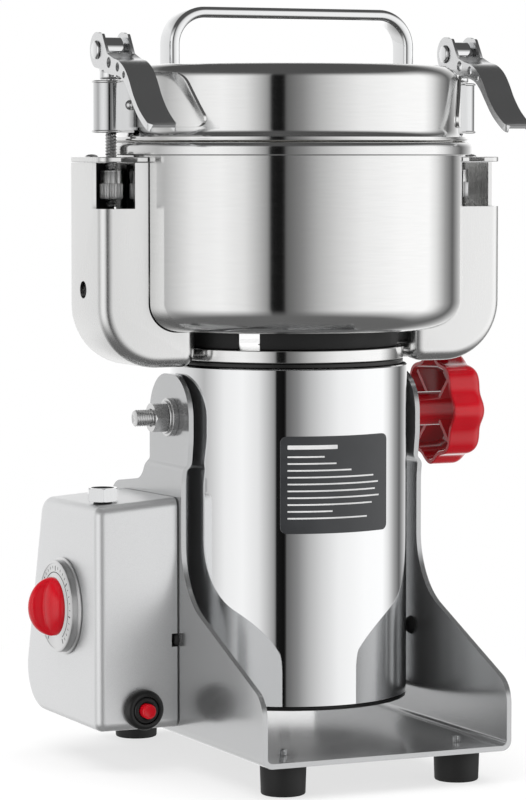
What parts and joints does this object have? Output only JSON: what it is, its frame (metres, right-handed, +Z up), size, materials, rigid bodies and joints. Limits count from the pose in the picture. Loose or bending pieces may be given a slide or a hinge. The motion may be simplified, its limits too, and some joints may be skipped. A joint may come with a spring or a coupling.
{
  "type": "hammer mill",
  "caption": "Benchtop hammer mill: clamped steel grinding bowl on a tilting motor, in a bent sheet frame with a side switch box, timer and tilt knob.",
  "frame": {"origin": "on the floor under the middle of the bounding box", "axes": "+Z up along the grinding axis, -Y the open front that the bowl tips towards, +X towards the red tilt knob"},
  "size_m": [0.2354, 0.214, 0.372],
  "materials": {
    "satin_steel": "satin brushed stainless steel with soft vertical gradients",
    "polished_steel": "mirror-polished stainless steel",
    "bright_chrome": "bright chrome plate",
    "zinc_steel": "bright zinc-plated steel",
    "frame_paint": "satin silver-grey paint",
    "box_paint": "fine silver paint, satin",
    "black_rubber": "matte black rubber",
    "black_plastic": "moulded black plastic",
    "red_plastic": "glossy red plastic",
    "silver_dial": "silver dial with printed scale",
    "dark_plate": "dark grey plate, no lettering",
    "tool_steel": "ground tool steel",
    "core_steel": "laminated and cast steel",
    "copper_winding": "varnished copper winding",
    "pale_seal": "food-grade silicone"
  },
  "bodies": {
    "base": {"base_frame": "frame_paint", "foot_front_left": "black_rubber", "foot_front_right": "black_rubber", "foot_back_left": "black_rubber", "foot_back_right": "black_rubber", "bumper_left": "black_rubber", "bumper_right": "black_rubber", "switch_box": "box_paint", "timer_body": "black_plastic", "timer_dial": "silver_dial", "breaker_body": "black_plastic", "breaker_nut": "black_plastic", "box_gland": "bright_chrome"},
    "timer_knob": {"timer_knob": "red_plastic"},
    "breaker_button": {"breaker_button": "red_plastic"},
    "head": {"motor_housing": "polished_steel", "rating_plate": "dark_plate", "bottom_cover": "black_plastic", "upper_bracket": "core_steel", "lower_bearing": "tool_steel", "upper_bearing": "tool_steel", "stator": "core_steel", "brush_yoke": "black_plastic", "pivot_bolt_left": "zinc_steel", "pivot_nut_left": "zinc_steel", "tilt_washer_right": "black_plastic", "neck_gasket": "black_rubber", "neck_ring": "satin_steel", "neck_band": "black_rubber", "grinding_bowl": "satin_steel", "shaft_seal": "pale_seal", "arm_left": "satin_steel", "arm_cap_left": "satin_steel", "arm_right": "satin_steel", "arm_cap_right": "satin_steel"},
    "rotor": {"main_shaft": "tool_steel", "armature": "copper_winding", "cooling_fan": "black_plastic", "lower_blade": "tool_steel", "hammer_carrier": "tool_steel", "upper_blade": "tool_steel", "rotor_nut": "zinc_steel"},
    "hammer_left": {"hammer_left": "tool_steel"},
    "hammer_right": {"hammer_right": "tool_steel"},
    "tilt_knob": {"tilt_knob": "red_plastic"},
    "lid": {"lid_shell": "satin_steel", "lid_gasket": "pale_seal", "lid_handle": "bright_chrome", "ear_left": "satin_steel", "ear_right": "satin_steel", "ear_screw_left": "satin_steel", "ear_screw_right": "satin_steel", "clamp_rod_left": "zinc_steel", "clamp_rod_right": "zinc_steel", "lever_pin_left": "bright_chrome", "lever_pin_right": "bright_chrome"},
    "clamp_nut_left": {"clamp_nut_left": "zinc_steel"},
    "clamp_nut_right": {"clamp_nut_right": "zinc_steel"},
    "clamp_lever_left": {"clamp_lever_left": "bright_chrome"},
    "clamp_lever_right": {"clamp_lever_right": "bright_chrome"}
  },
  "joints": [
    {"name": "head_tilt", "type": "hinge", "parent": "base", "child": "head", "pos_m": [0.00925, 0.006, 0.172], "axis": [1, 0, 0], "range_deg": [0, 100]},
    {"name": "tilt_knob_turn", "type": "hinge", "parent": "head", "child": "tilt_knob", "pos_m": [0.08925, 0.006, 0.172], "axis": [1, 0, 0], "continuous": true},
    {"name": "lid_swing", "type": "hinge", "parent": "head", "child": "lid", "pos_m": [-0.08525, 0.006, 0.32], "axis": [0, 0, 1], "range_deg": [-110, 0]},
    {"name": "lever_left_lift", "type": "hinge", "parent": "lid", "child": "clamp_lever_left", "pos_m": [-0.08525, 0.006, 0.3505], "axis": [-1, 0, 0], "range_deg": [0, 100]},
    {"name": "lever_right_lift", "type": "hinge", "parent": "lid", "child": "clamp_lever_right", "pos_m": [0.10375, 0.006, 0.3505], "axis": [-1, 0, 0], "range_deg": [0, 100]},
    {"name": "clamp_nut_left_turn", "type": "hinge", "parent": "lid", "child": "clamp_nut_left", "pos_m": [-0.08525, 0.006, 0.285], "axis": [0, 0, 1], "continuous": true},
    {"name": "clamp_nut_right_turn", "type": "hinge", "parent": "lid", "child": "clamp_nut_right", "pos_m": [0.10375, 0.006, 0.285], "axis": [0, 0, 1], "continuous": true},
    {"name": "rotor_spin", "type": "hinge", "parent": "head", "child": "rotor", "pos_m": [0.00925, 0.006, 0.24], "axis": [0, 0, 1], "continuous": true},
    {"name": "hammer_left_swing", "type": "hinge", "parent": "rotor", "child": "hammer_left", "pos_m": [-0.01675, 0.006, 0.2385], "axis": [0, 0, 1], "range_deg": [-60, 60]},
    {"name": "hammer_right_swing", "type": "hinge", "parent": "rotor", "child": "hammer_right", "pos_m": [0.03525, 0.006, 0.2385], "axis": [0, 0, 1], "range_deg": [-60, 60]},
    {"name": "timer_turn", "type": "hinge", "parent": "base", "child": "timer_knob", "pos_m": [-0.10375, 0.0353, 0.078], "axis": [1, 0, 0], "range_deg": [0, 300]},
    {"name": "breaker_press", "type": "slide", "parent": "base", "child": "breaker_button", "axis": [0, 1, 0], "range_m": [0, 0.0025], "stiffness_N_per_m": 400, "springref_m": -0.001}
  ]
}
